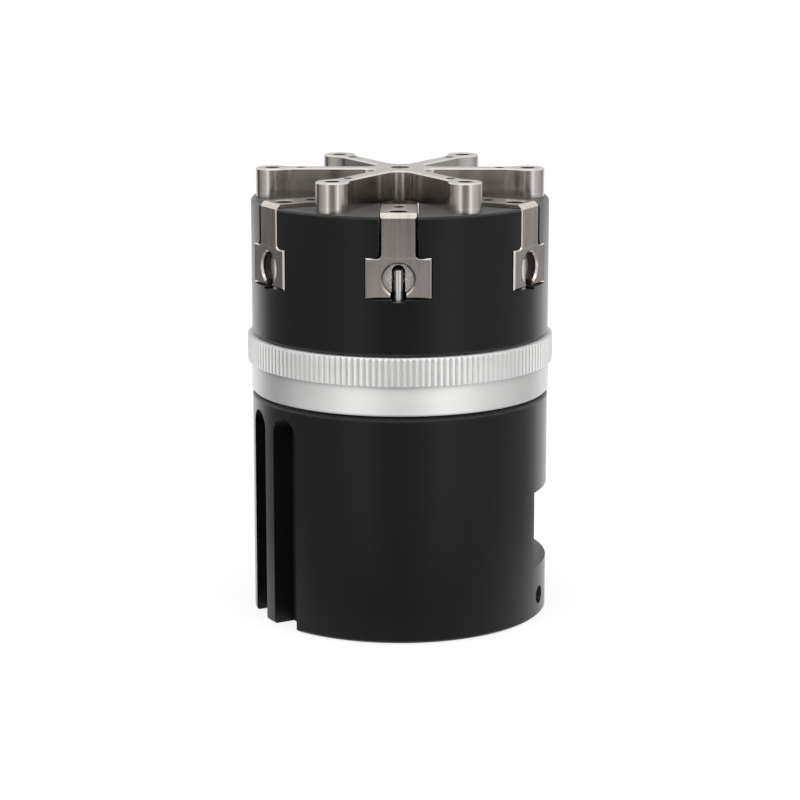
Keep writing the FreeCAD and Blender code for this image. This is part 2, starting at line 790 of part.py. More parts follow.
def ejector_parts():
    bore_r = ejector_bore_dia / 2
    hole_r = ejector_spigot_dia / 2 + press_gap
    write("ejector_star", ejector_star())
    write("ejector_guide_pins", *around(guide_pin(), guide_angles))
    write("ejector_rod", ejector_rod())
    write("ejector_piston", grooved_piston(bore_r, ejector_piston_low, ejector_piston_height, hole_r))
    write("ejector_piston_seal", piston_seal(bore_r, ejector_piston_low))
    write("ejector_piston_magnet", piston_magnet(bore_r, ejector_piston_low, ejector_piston_height))
    write("ejector_nut", ejector_nut())


def housing_parts():
    write("lower_housing", lower_housing())
    write("upper_housing", upper_housing())
    write("cylinder_cover", cylinder_cover())
    write("cylinder_cover_seal", outer_seal(cover_dia, cover_low, cover_height))
    write("spread_rod_seal", rod_seal(spread_rod_dia / 2, cover_low, cover_height))
    write("ejector_rod_seal", rod_seal(ejector_rod_dia / 2, partition_low, partition))
    write("end_cover", end_cover())
    write("end_cover_seal", outer_seal(end_cover_dia, end_cover_inset, end_cover_height))
    write("retaining_ring", retaining_ring())
    write("head_screws", *around(head_screw(), screw_angles))
    dowel_low = base_height - dowel_length / 2
    dowel = cylinder(dowel_dia / 2, dowel_low, dowel_low + dowel_length, screw_pcd / 2)
    write("housing_dowels", *around(dowel, dowel_angles))
    write("spring_pins", *around(spring_pin(), jaw_angles))


def jaw_parts():
    one_jaw = jaw()
    one_spring = jaw_spring()
    one_retainer = spring_retainer()
    for number, angle in enumerate(jaw_angles, start=1):
        write("jaw_%d" % number, at_angle(one_jaw, angle))
        write("jaw_spring_%d" % number, at_angle(one_spring, angle))
        write("spring_retainer_%d" % number, at_angle(one_retainer, angle))


housing_parts()
write("adjusting_ring", adjusting_ring())
write("stop_sleeve", stop_sleeve())
spread_parts()
jaw_parts()
ejector_parts()
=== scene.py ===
import math

import bpy
import numpy as np
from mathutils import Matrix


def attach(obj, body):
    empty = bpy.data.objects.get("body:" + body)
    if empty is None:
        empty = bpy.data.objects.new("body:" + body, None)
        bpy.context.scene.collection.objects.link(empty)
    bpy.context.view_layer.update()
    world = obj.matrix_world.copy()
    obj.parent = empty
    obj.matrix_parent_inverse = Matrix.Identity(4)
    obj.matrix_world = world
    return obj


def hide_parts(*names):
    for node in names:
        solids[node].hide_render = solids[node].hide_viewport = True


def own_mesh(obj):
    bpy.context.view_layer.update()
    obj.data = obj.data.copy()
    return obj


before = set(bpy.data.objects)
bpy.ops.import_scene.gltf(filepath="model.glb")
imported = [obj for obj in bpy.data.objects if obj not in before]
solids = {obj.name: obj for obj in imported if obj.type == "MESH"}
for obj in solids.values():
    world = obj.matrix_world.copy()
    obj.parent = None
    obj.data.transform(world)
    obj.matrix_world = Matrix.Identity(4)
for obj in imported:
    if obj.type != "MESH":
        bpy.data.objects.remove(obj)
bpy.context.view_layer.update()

# Housing blocks: two turned and milled aluminium bodies, hard anodised black, held by six long screws from below.
# The satin coat keeps the fine turning lines of the lathe, and along the rims it carries a painted highlight of the
# broken edges: a lighter grey, broken up by specks like rubbing.


def new_finish(name):
    """An empty node material and its shader, ready for a piece's own colour, gloss and tool marks."""
    finish = bpy.data.materials.new(name)
    finish.use_nodes = True
    tree = finish.node_tree
    return finish, tree, tree.nodes["Principled BSDF"]


def feed(tree, socket, term):
    """Sets a socket to a number, or links it to the output of another node."""
    if isinstance(term, (int, float)):
        socket.default_value = term
    else:
        tree.links.new(term, socket)


def sum_up(tree, operation, *terms):
    """One arithmetic step; each term is a number or the output of another node."""
    step = tree.nodes.new("ShaderNodeMath")
    step.operation = operation
    for socket, term in zip(step.inputs, terms):
        feed(tree, socket, term)
    return step.outputs["Value"]


def weighed(tree, *pairs):
    """Sum of values, each times its own weight."""
    total = 0.0
    for value, weight in pairs:
        total = sum_up(tree, "MULTIPLY_ADD", value, weight, total)
    return total


def object_place(tree):
    """The point on the piece in metres, read from Object coordinates."""
    return tree.nodes.new("ShaderNodeTexCoord").outputs["Object"]


def split_place(tree, place):
    """The three measures of a place: across, along and up."""
    split = tree.nodes.new("ShaderNodeSeparateXYZ")
    tree.links.new(place, split.inputs["Vector"])
    return split.outputs["X"], split.outputs["Y"], split.outputs["Z"]


def join_place(tree, across, along, up):
    """A place made of three measures."""
    join = tree.nodes.new("ShaderNodeCombineXYZ")
    for socket, term in zip(join.inputs, (across, along, up)):
        feed(tree, socket, term)
    return join.outputs["Vector"]


def span(tree, a, b):
    """Length of the straight line whose legs are a and b: the root of the sum of their squares."""
    return sum_up(tree, "SQRT", weighed(tree, (a, a), (b, b)))


def lathe_place(tree, slow, fine):
    """Place for turning lines: radius and height many times finer than the way round, so that rings show on
    ends and walls."""
    across, along, up = split_place(tree, object_place(tree))
    rings = sum_up(tree, "MULTIPLY", sum_up(tree, "ADD", span(tree, across, along), up), fine)
    return join_place(tree, rings, sum_up(tree, "MULTIPLY", across, slow), sum_up(tree, "MULTIPLY", along, slow))


def scaled_place(tree, place, *scale):
    """The same place, stretched by one scale or by three."""
    lay = tree.nodes.new("ShaderNodeMapping")
    lay.inputs["Scale"].default_value = scale if len(scale) == 3 else scale * 3
    tree.links.new(place, lay.inputs["Vector"])
    return lay.outputs["Vector"]


def grain(tree, place, detail=3.0, roughness=0.5):
    """Soft noise from 0 to 1 at that place."""
    noise = tree.nodes.new("ShaderNodeTexNoise")
    noise.inputs["Scale"].default_value = 1.0
    noise.inputs["Detail"].default_value = detail
    noise.inputs["Roughness"].default_value = roughness
    tree.links.new(place, noise.inputs["Vector"])
    return noise.outputs["Fac"]


def between(tree, value, low, high, start=0.3, end=0.7):
    """A value from start to end carried over to low and high, and held there beyond them."""
    carry = tree.nodes.new("ShaderNodeMapRange")
    for socket, number in zip(("From Min", "From Max", "To Min", "To Max"), (start, end, low, high)):
        carry.inputs[socket].default_value = number
    tree.links.new(value, carry.inputs["Value"])
    return carry.outputs["Result"]


def tint(tree, value, first, second, start=0.3, end=0.7):
    """Colour that goes from the first to the second as the value goes from start to end."""
    ramp = tree.nodes.new("ShaderNodeValToRGB")
    for point, position, colour in zip(ramp.color_ramp.elements, (start, end), (first, second)):
        point.position = position
        point.color = (*colour, 1)
    tree.links.new(value, ramp.inputs["Fac"])
    return ramp.outputs["Color"]


def blend_tint(tree, amount, first, second):
    """Mix of two colours by an amount from 0 to 1."""
    mix = tree.nodes.new("ShaderNodeMix")
    mix.data_type = "RGBA"
    tree.links.new(amount, mix.inputs["Factor"])
    for socket, colour in ((mix.inputs[6], first), (mix.inputs[7], second)):
        if isinstance(colour, tuple):
            socket.default_value = (*colour, 1)
        else:
            tree.links.new(colour, socket)
    return mix.outputs[2]


def relief(tree, shader, height, depth):
    """Small hollows in the surface, depth metres between the low and the high of the height value."""
    bump = tree.nodes.new("ShaderNodeBump")
    bump.inputs["Distance"].default_value = depth
    bump.inputs["Strength"].default_value = 1.0
    tree.links.new(height, bump.inputs["Height"])
    tree.links.new(bump.outputs["Normal"], shader.inputs["Normal"])


def near_levels(tree, levels, reach):
    """1 at any of the heights, falling to 0 at that reach above and below it."""
    up = split_place(tree, object_place(tree))[2]
    nearest = None
    for level in levels:
        gap = sum_up(tree, "ABSOLUTE", sum_up(tree, "SUBTRACT", up, level))
        nearest = gap if nearest is None else sum_up(tree, "MINIMUM", nearest, gap)
    return between(tree, nearest, 1.0, 0.0, 0.0, reach)


def wear(finish, *node_names):
    """Puts a finish on the named solids in place of the plain one they came with."""
    for node_name in node_names:
        slots = solids[node_name].data.materials
        slots.clear()
        slots.append(finish)


housing_rims = (0.0002, 0.0636, 0.0817, 0.1196)
rim_reach = 0.0007
rim_inner_r, rim_outer_r = 0.0417, 0.0421
deep_black, worn_black = (0.0018, 0.0018, 0.0020), (0.0032, 0.0032, 0.0035)
# Grey of the painted highlight along the housing rims.
painted_rim_highlight = (0.055, 0.054, 0.052)
tool_mark_depth = 0.000002
black_anodised, tree, shader = new_finish("black_anodised")
fine_lines = grain(tree, lathe_place(tree, 60.0, 7000.0), 2.0)
cloud = grain(tree, scaled_place(tree, object_place(tree), 60, 60, 25))
speck = grain(tree, scaled_place(tree, object_place(tree), 2600), 2.0)
coat = tint(tree, cloud, deep_black, worn_black)
across, along, _ = split_place(tree, object_place(tree))
# Painted highlight: near the rim heights and out at the rim's radius the black coat turns a speckled lighter grey.
at_rim = sum_up(tree, "MULTIPLY", near_levels(tree, housing_rims, rim_reach),
                between(tree, span(tree, across, along), 0.0, 1.0, rim_inner_r, rim_outer_r))
rim_highlight_mask = sum_up(tree, "MULTIPLY", at_rim, between(tree, speck, 0.05, 0.75, 0.4, 0.7))
tree.links.new(blend_tint(tree, rim_highlight_mask, coat, painted_rim_highlight), shader.inputs["Base Color"])
tree.links.new(between(tree, weighed(tree, (cloud, 0.6), (speck, 0.4)), 0.27, 0.38), shader.inputs["Roughness"])
shader.inputs["Specular IOR Level"].default_value = 0.20
shader.inputs["Sheen Weight"].default_value = 0.18
shader.inputs["Sheen Roughness"].default_value = 0.40
relief(tree, shader, weighed(tree, (fine_lines, 0.7), (speck, 0.5)), tool_mark_depth)
wear(black_anodised, "lower_housing", "upper_housing")

# Adjusting ring: bare aluminium, turned bright with a straight knurl rolled round its upper half.
# It turns by hand between the two housing blocks and screws the stop sleeve up or down inside.
ring_grey, ring_bright = (0.83, 0.825, 0.815), (0.92, 0.92, 0.915)
turned_aluminium, tree, shader = new_finish("turned_aluminium")
lines = grain(tree, lathe_place(tree, 90.0, 5200.0))
cloud = grain(tree, scaled_place(tree, object_place(tree), 45, 45, 160))
tree.links.new(tint(tree, weighed(tree, (lines, 0.55), (cloud, 0.45)), ring_grey, ring_bright),
               shader.inputs["Base Color"])
tree.links.new(between(tree, lines, 0.56, 0.66), shader.inputs["Roughness"])
shader.inputs["Metallic"].default_value = 1.0
shader.inputs["Anisotropic"].default_value = 0.8
shader.inputs["Anisotropic Rotation"].default_value = 0.25
way_round = tree.nodes.new("ShaderNodeTangent")
way_round.direction_type = "RADIAL"
way_round.axis = "Z"
tree.links.new(way_round.outputs["Tangent"], shader.inputs["Tangent"])
relief(tree, shader, lines, tool_mark_depth)
wear(turned_aluminium, "adjusting_ring")

# Jaws: six ground steel slides with a T foot, each in its own slot, with a keyhole for the return spring.
# The grinding runs along each jaw and up its face, and a painted highlight lightens the broken edges and the flat
# faces at the foot, shoulder and top levels. The keyhole's walls are rough from the drill and carry painted shade,
# and the top is milled.
jaw_foot_low, jaw_shoulder, jaw_top = 0.0975, 0.1086, 0.1208
keyhole_height = 0.1027
keyhole_wall_r = 0.00432
spring_slot_half = 0.00225
spring_slot_top = 0.1072
keyhole_mouth = 0.0416
finger_screw_r, finger_dowel_r = 0.0370, 0.0286
jaw_bores = ((finger_screw_r, 0.00256), (finger_dowel_r, 0.00156))
# Painted shade on the walls of drilled holes and keyholes: a dark grey colour, with a rougher finish.
painted_bore_shade, drilled_roughness = (0.085, 0.075, 0.07), 0.42
milled_reach, milled_roughness = 0.0002, 0.29
jaw_dull, jaw_bright = (0.41, 0.365, 0.335), (0.61, 0.56, 0.52)
# Painted highlight on edges and flat faces at the listed levels: its colour, its reach up and down, and its share.
painted_edge_highlight, highlight_reach, highlight_share = (0.66, 0.62, 0.58), 0.0005, 0.5
upright_slant = (0.02, 0.01, 1.0)


def folded_place(tree, first_angle, folds=6):
    """Place turned into the nearest of equal spokes: out along the spoke, sideways across it, and up."""
    across, along, up = split_place(tree, object_place(tree))
    radius = span(tree, across, along)
    step = 2 * math.pi / folds
    angle = sum_up(tree, "SUBTRACT", sum_up(tree, "ARCTAN2", along, across), math.radians(first_angle) - step / 2)
    spoke = sum_up(tree, "SUBTRACT", sum_up(tree, "FLOORED_MODULO", angle, step), step / 2)
    return join_place(tree, sum_up(tree, "MULTIPLY", radius, sum_up(tree, "COSINE", spoke)),
                      sum_up(tree, "MULTIPLY", radius, sum_up(tree, "SINE", spoke)), up)


def keyhole_walls(tree, spoke_place):
    """1 on the walls of the keyhole and of the slot below it, 0 elsewhere: nearer to the bore's axis than its
    radius or nearer to the middle plane than half the slot, below the slot's top and behind the mouth."""
    out, side, up = split_place(tree, spoke_place)
    off_axis = span(tree, side, sum_up(tree, "SUBTRACT", up, keyhole_height))
    bore_wall = sum_up(tree, "LESS_THAN", off_axis, keyhole_wall_r)
    slot_wall = sum_up(tree, "LESS_THAN", sum_up(tree, "ABSOLUTE", side), spring_slot_half)
    low = sum_up(tree, "LESS_THAN", up, spring_slot_top)
    behind = sum_up(tree, "LESS_THAN", out, keyhole_mouth)
    return sum_up(tree, "MULTIPLY", sum_up(tree, "MAXIMUM", bore_wall, slot_wall),
                  sum_up(tree, "MULTIPLY", low, behind))


def bore_walls(tree, spoke_place, bores):
    """1 on the walls of upright holes, 0 elsewhere: nearer to a hole's axis than its radius. A hole is given by how
    far out on the spoke it stands and by its radius."""
    out, side, _ = split_place(tree, spoke_place)
    inside = 0.0
    for bore_out, bore_r in bores:
        off_axis = span(tree, sum_up(tree, "SUBTRACT", out, bore_out), side)
        inside = sum_up(tree, "MAXIMUM", inside, sum_up(tree, "LESS_THAN", off_axis, bore_r))
    return inside


def ground_finish(name, first_angle, dull, bright, highlight_levels, upright_spread, bores):
    """Ground steel: fine lines and broader bands along the spoke and up its ends, soft cloudy tone, a painted
    highlight on the broken edges and flat faces at the highlight levels, and painted shade on the rough walls of
    drilled holes. The upright spread draws lamps out into streaks up and down the walls; the slant keeps it valid
    on flat tops. Gives also the spoke's place, the colour and the gloss, for a piece that changes them."""
    finish, tree, shader = new_finish(name)
    spoke_place = folded_place(tree, first_angle)
    lines = grain(tree, scaled_place(tree, spoke_place, 90, 3600, 70))
    bands = grain(tree, scaled_place(tree, spoke_place, 60, 620, 26), 2.0)
    cloud = grain(tree, scaled_place(tree, object_place(tree), 170, 170, 120))
    body = tint(tree, weighed(tree, (lines, 0.3), (bands, 0.45), (cloud, 0.25)), dull, bright)
    # Painted highlight: within reach of each listed level the colour is lightened towards a bright steel tone, on
    # whole flat faces as well as edges.
    edge = sum_up(tree, "MULTIPLY", near_levels(tree, highlight_levels, highlight_reach), highlight_share)
    # Painted shade: the walls of the upright holes are coloured dark grey.
    drilled = bore_walls(tree, spoke_place, bores)
    colour = blend_tint(tree, drilled, blend_tint(tree, edge, body, painted_edge_highlight), painted_bore_shade)
    gloss = sum_up(tree, "MAXIMUM", between(tree, lines, 0.17, 0.25),
                   sum_up(tree, "MULTIPLY", drilled, drilled_roughness))
    tree.links.new(colour, shader.inputs["Base Color"])
    tree.links.new(gloss, shader.inputs["Roughness"])
    shader.inputs["Metallic"].default_value = 1.0
    shader.inputs["Anisotropic"].default_value = upright_spread
    tree.links.new(join_place(tree, *upright_slant), shader.inputs["Tangent"])
    relief(tree, shader, lines, tool_mark_depth)
    return finish, spoke_place, colour, gloss


jaw_steel, spoke_place, colour, gloss = ground_finish(
    "jaw_steel", 30.0, jaw_dull, jaw_bright, (jaw_foot_low, jaw_shoulder, jaw_top), upright_spread=0.3,
    bores=jaw_bores)
tree = jaw_steel.node_tree
shader = tree.nodes["Principled BSDF"]
# Painted shade: the keyhole's walls and the slot below it are coloured dark grey and made rougher.
shaded_rough_wall = keyhole_walls(tree, spoke_place)
milled_top = near_levels(tree, (jaw_top,), milled_reach)
tree.links.new(blend_tint(tree, shaded_rough_wall, colour, painted_bore_shade), shader.inputs["Base Color"])
rough_wall = sum_up(tree, "MULTIPLY", shaded_rough_wall, drilled_roughness)
rough_top = sum_up(tree, "MULTIPLY", milled_top, milled_roughness)
tree.links.new(sum_up(tree, "MAXIMUM", gloss, sum_up(tree, "MAXIMUM", rough_wall, rough_top)),
               shader.inputs["Roughness"])
wear(jaw_steel, *["jaw_%d" % number for number in range(1, 7)])

# Threads in the jaw tops: one M6 in each jaw for the finger screw.
# Each is a ridge that winds down the wall of its tapped hole and is cut in the jaw's own steel.
finger_thread_low, finger_thread_high = 0.1100, 0.1204
m6_core_r, m6_pitch = 0.0025, 0.0010
sunk = 0.00003
ridge_depth, ridge_foot, ridge_crest = 0.30, 0.42, 0.06


def sweep_helix(profile, heights, steps_per_turn):
    """Closed profile of (outward, along) points carried round a helix: radius is the profile's outward value,
    the angle is the step's share of a turn, and the height is the step's own height plus the profile's along
    value. Gives the grid of points, one row for each step."""
    steps = len(heights)
    angle = np.arange(steps) * 2 * np.pi / steps_per_turn
    outward, along = np.asarray(profile, float).T
    points = np.empty((steps, len(outward), 3))
    points[:, :, 0] = np.cos(angle)[:, None] * outward[None, :]
    points[:, :, 1] = np.sin(angle)[:, None] * outward[None, :]
    points[:, :, 2] = heights[:, None] + along[None, :]
    return points


def place_grid(points, foot, axis):
    """The grid turned so that its own Z lies along the axis, and moved to stand on the foot point."""
    axis = np.asarray(axis, float) / np.linalg.norm(axis)
    helper = np.array([0.0, 0.0, 1.0]) if abs(axis[2]) < 0.9 else np.array([1.0, 0.0, 0.0])
    side = np.cross(helper, axis)
    side /= np.linalg.norm(side)
    front = np.cross(axis, side)
    return points @ np.stack([side, front, axis]) + np.asarray(foot, float)


def tube_piece(name, grids, finish):
    """One mesh of several closed tubes: each grid's rows are joined to the next row and its ends are capped."""
    corners, quads, caps, offset = [], [], [], 0
    for points in grids:
        rows, around = points.shape[:2]
        corners.append(points.reshape(-1, 3))
        row, col = np.meshgrid(np.arange(rows - 1), np.arange(around), indexing="ij")
        here, following = row * around, (row + 1) * around
        beside = (col + 1) % around
        ring = np.stack([here + col, here + beside, following + beside, following + col], -1)
        quads.append(ring.reshape(-1, 4) + offset)
        caps.append((np.arange(around)[::-1] + offset).tolist())
        caps.append((np.arange(around) + (rows - 1) * around + offset).tolist())
        offset += rows * around
    mesh = bpy.data.meshes.new(name)
    mesh.from_pydata(np.concatenate(corners).tolist(), [], np.concatenate(quads).tolist() + caps)
    mesh.polygons.foreach_set("use_smooth", np.full(len(mesh.polygons), True))
    mesh.materials.append(finish)
    mesh.update()
    piece = bpy.data.objects.new(name, mesh)
    bpy.context.scene.collection.objects.link(piece)
    return piece


def thread_ridge(hole_radius, pitch, low, high, foot, axis):
    """Ridge of a tapped hole: a blunt triangle whose base is just in the wall, wound once for each pitch from low
    to high. Its depth and the halves of its foot and crest are shares of the pitch."""
    steps_per_turn = 36
    steps = int((high - low - pitch) / pitch * steps_per_turn)
    heights = low + pitch / 2 + np.arange(steps) * pitch / steps_per_turn
    root, crest = hole_radius + sunk, hole_radius - ridge_depth * pitch
    foot_half, crest_half = ridge_foot * pitch, ridge_crest * pitch
    profile = [(root, -foot_half), (crest, -crest_half), (crest, crest_half), (root, foot_half)]
    return place_grid(sweep_helix(profile, heights, steps_per_turn), foot, axis)


def spoke_at(degrees):
    """Level unit direction at that angle round the gripper's axis."""
    angle = math.radians(degrees)
    return np.array([math.cos(angle), math.sin(angle), 0.0])


jaw_spokes = [spoke_at(-90.0 + 60.0 * i) for i in range(6)]
for number, spoke in enumerate(jaw_spokes, 1):
    ridge = thread_ridge(m6_core_r, m6_pitch, finger_thread_low, finger_thread_high, spoke * finger_screw_r,
                         (0, 0, 1))
    jaw_thread = tube_piece("jaw_thread_%d" % number, [ridge], jaw_steel)
    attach(jaw_thread, "jaw_%d_body" % number)

# Return springs: six coils of round spring wire, pressed between the end of each jaw's pocket and its upright pin.
# The end turns are wound close, and the coil shortens as the jaw slides out.
spring_low, spring_high = 0.02355, 0.0381
wire_dia, coil_mid_r = 0.0005, 0.00175
coil_turns, steps_per_turn, wire_sides = 9, 28, 10
close_turns, easing_turns, close_pitch = 0.6, 0.5, 1.04
spring_steel, tree, shader = new_finish("spring_steel")
wire_grain = grain(tree, scaled_place(tree, object_place(tree), 900))
tree.links.new(tint(tree, wire_grain, (0.40, 0.39, 0.37), (0.58, 0.57, 0.55)), shader.inputs["Base Color"])
tree.links.new(between(tree, wire_grain, 0.22, 0.38), shader.inputs["Roughness"])
shader.inputs["Metallic"].default_value = 1.0


def coil_heights(length, wire, turns, steps_per_turn):
    """Height along a coil with close end turns: the pitch is about one wire near both ends and wide between, scaled
    to the length."""
    share = np.arange(turns * steps_per_turn + 1) / steps_per_turn
    ends = np.clip(np.minimum(share, turns - share) - close_turns, 0.0, easing_turns) / easing_turns
    climb = np.concatenate([[0.0], np.cumsum(0.5 * (ends[1:] + ends[:-1]))])
    close = share * wire * close_pitch
    return close + climb / climb[-1] * (length - wire - close[-1])


wire_angle = np.arange(wire_sides) * 2 * np.pi / wire_sides
wire_ring = np.stack([coil_mid_r + wire_dia / 2 * np.cos(wire_angle), wire_dia / 2 * np.sin(wire_angle)], -1)
heights = spring_low + wire_dia / 2 + coil_heights(spring_high - spring_low, wire_dia, coil_turns, steps_per_turn)
for number, spoke in enumerate(jaw_spokes, 1):
    coil = place_grid(sweep_helix(wire_ring, heights, steps_per_turn), (0, 0, keyhole_height), spoke)
    spring = tube_piece("return_spring_%d" % number, [coil], spring_steel)
    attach(spring, "housing")
    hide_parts("jaw_spring_%d" % number)
    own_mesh(spring)

# Spring retainers: slotted discs of sintered steel pressed into the keyholes, open and grainy on their face.
# The slot lets the upright pin through while the disc keeps the spring in the jaw.
sintered_steel, tree, shader = new_finish("sintered_steel")
pores = grain(tree, scaled_place(tree, object_place(tree), 2400), 4.0, 0.65)
tree.links.new(tint(tree, pores, (0.40, 0.385, 0.365), (0.72, 0.70, 0.67), 0.38, 0.56),
               shader.inputs["Base Color"])
tree.links.new(between(tree, pores, 0.62, 0.42), shader.inputs["Roughness"])
shader.inputs["Metallic"].default_value = 0.85
relief(tree, shader, pores, 0.00004)
wear(sintered_steel, *["spring_retainer_%d" % number for number in range(1, 7)])

# Spring pins, guide pins, dowels, the piston rod and the spreader: hardened steel, ground bright.
# The pins are pressed into their holes. At rest only the six spring pins show, in the keyholes of the jaws.
hardened_steel, tree, shader = new_finish("hardened_steel")
lines = grain(tree, lathe_place(tree, 400.0, 6000.0), 2.0)
tree.links.new(tint(tree, lines, (0.60, 0.585, 0.57), (0.70, 0.69, 0.675)), shader.inputs["Base Color"])
tree.links.new(between(tree, lines, 0.28, 0.40), shader.inputs["Roughness"])
shader.inputs["Metallic"].default_value = 1.0
relief(tree, shader, lines, tool_mark_depth)
wear(hardened_steel, "spring_pins", "ejector_guide_pins", "housing_dowels", "ejector_rod", "spreader")

# Ejector star: one plate of steel with six arms, each ending in a round boss that stands on the head's lands.
# It is milled and ground on top, rides up on three guide pins and is held to the piston rod by its centre stud.
star_low_edge, star_top = 0.1211, 0.1282
star_screw_r, star_dowel_r = 0.03635, 0.0283
star_thread_low, star_thread_high = 0.1200, 0.1278
m5_core_r, m5_pitch = 0.0021, 0.0008
star_bores = ((star_screw_r, 0.00216), (star_dowel_r, 0.00131))
star_dull, star_bright = (0.50, 0.46, 0.43), (0.56, 0.52, 0.485)
star_steel = ground_finish("star_steel", 0.0, star_dull, star_bright, (star_top, star_low_edge),
                           upright_spread=0.65, bores=star_bores)[0]
wear(star_steel, "ejector_star")
star_ridges = [thread_ridge(m5_core_r, m5_pitch, star_thread_low, star_thread_high,
                            spoke_at(60.0 * i) * star_screw_r, (0, 0, 1)) for i in range(6)]
star_thread = tube_piece("star_threads", star_ridges, star_steel)
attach(star_thread, "ejector")

# Tapped holes in the housing: six M6 mounting holes in the base, four M5 air ports on the flat, and two purge
# ports below it. Their threads are cut after anodising, so they show bare aluminium.
mount_r = 0.030
mount_thread_low, mount_thread_high = 0.0004, 0.0116
port_sides, port_heights = (-0.009, 0.009), (0.0209, 0.0314)
port_thread_in, port_thread_out = 0.0309, 0.0382
purge_sides, purge_height, purge_core_r = (-0.0136, 0.0136), 0.00605, 0.0026
purge_thread_in, purge_thread_out = 0.0315, 0.0390
cut_aluminium, tree, shader = new_finish("cut_aluminium")
chatter = grain(tree, scaled_place(tree, object_place(tree), 1500))
tree.links.new(tint(tree, chatter, (0.55, 0.55, 0.54), (0.76, 0.76, 0.75)), shader.inputs["Base Color"])
tree.links.new(between(tree, chatter, 0.25, 0.45), shader.inputs["Roughness"])
shader.inputs["Metallic"].default_value = 1.0
housing_ridges = [thread_ridge(m6_core_r, m6_pitch, mount_thread_low, mount_thread_high,
                               spoke_at(30.0 + 60.0 * i) * mount_r, (0, 0, 1)) for i in range(6)]
housing_ridges += [thread_ridge(m5_core_r, m5_pitch, port_thread_in, port_thread_out, (0, side, height), (1, 0, 0))
                   for side in port_sides for height in port_heights]
housing_ridges += [thread_ridge(purge_core_r, m6_pitch, purge_thread_in, purge_thread_out, (0, side, purge_height),
                                (1, 0, 0)) for side in purge_sides]
housing_thread = tube_piece("housing_threads", housing_ridges, cut_aluminium)
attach(housing_thread, "housing")

# Pistons, covers and stop sleeve: turned from plain aluminium bar and left as the lathe cut them.
# They close the two air cylinders inside the lower housing; the end cover shows in the base.
plain_aluminium, tree, shader = new_finish("plain_aluminium")
rings = grain(tree, lathe_place(tree, 12.0, 3800.0))
tree.links.new(tint(tree, rings, (0.60, 0.60, 0.59), (0.76, 0.76, 0.75)), shader.inputs["Base Color"])
tree.links.new(between(tree, rings, 0.28, 0.44), shader.inputs["Roughness"])
shader.inputs["Metallic"].default_value = 1.0
relief(tree, shader, rings, 0.000006)
wear(plain_aluminium, "stop_sleeve", "spread_piston", "ejector_piston", "cylinder_cover", "end_cover")

# Screws, nuts and the clip in the base: steel blackened in an oxide bath and left oily.
# The six long screws sit deep in the base, and the split ring snaps into its groove under the end cover.
black_oxide, tree, shader = new_finish("black_oxide")
bath = grain(tree, scaled_place(tree, object_place(tree), 700))
tree.links.new(tint(tree, bath, (0.018, 0.018, 0.020), (0.048, 0.046, 0.045)), shader.inputs["Base Color"])
tree.links.new(between(tree, bath, 0.32, 0.52), shader.inputs["Roughness"])
shader.inputs["Metallic"].default_value = 0.6
relief(tree, shader, bath, 0.000008)
wear(black_oxide, "head_screws", "ejector_nut", "spreader_nut", "retaining_ring")

# Seals: rings of moulded nitrile rubber, matt and a little dusty, stretched into the grooves of the pistons,
# the covers and the rods.
seal_rubber, tree, shader = new_finish("seal_rubber")
skin = grain(tree, scaled_place(tree, object_place(tree), 1800), 4.0)
tree.links.new(tint(tree, skin, (0.010, 0.010, 0.010), (0.026, 0.026, 0.025)), shader.inputs["Base Color"])
tree.links.new(between(tree, skin, 0.55, 0.78), shader.inputs["Roughness"])
relief(tree, shader, skin, 0.00001)
wear(seal_rubber, "cylinder_cover_seal", "spread_rod_seal", "ejector_rod_seal", "end_cover_seal",
     "spread_piston_seal", "ejector_piston_seal")

# Magnets: sintered ferrite rings in the pistons' second grooves, dark and porous.
# Sensor switches in the housing's outer grooves feel them pass.
sintered_magnet, tree, shader = new_finish("sintered_magnet")
pores = grain(tree, scaled_place(tree, object_place(tree), 1200), 4.0)
tree.links.new(tint(tree, pores, (0.035, 0.034, 0.036), (0.085, 0.083, 0.082)), shader.inputs["Base Color"])
tree.links.new(between(tree, pores, 0.45, 0.65), shader.inputs["Roughness"])
relief(tree, shader, pores, 0.00001)
wear(sintered_magnet, "spread_piston_magnet", "ejector_piston_magnet")

# Rod bush: a turned bronze sleeve pressed into the hollow rod of the large piston.
# The slim ejector rod slides in its bore.
bush_bronze, tree, shader = new_finish("bush_bronze")
bore_lines = grain(tree, lathe_place(tree, 80.0, 4200.0))
tree.links.new(tint(tree, bore_lines, (0.55, 0.33, 0.13), (0.68, 0.43, 0.19)), shader.inputs["Base Color"])
tree.links.new(between(tree, bore_lines, 0.28, 0.42), shader.inputs["Roughness"])
shader.inputs["Metallic"].default_value = 1.0
relief(tree, shader, bore_lines, 0.000005)
wear(bush_bronze, "rod_bush")

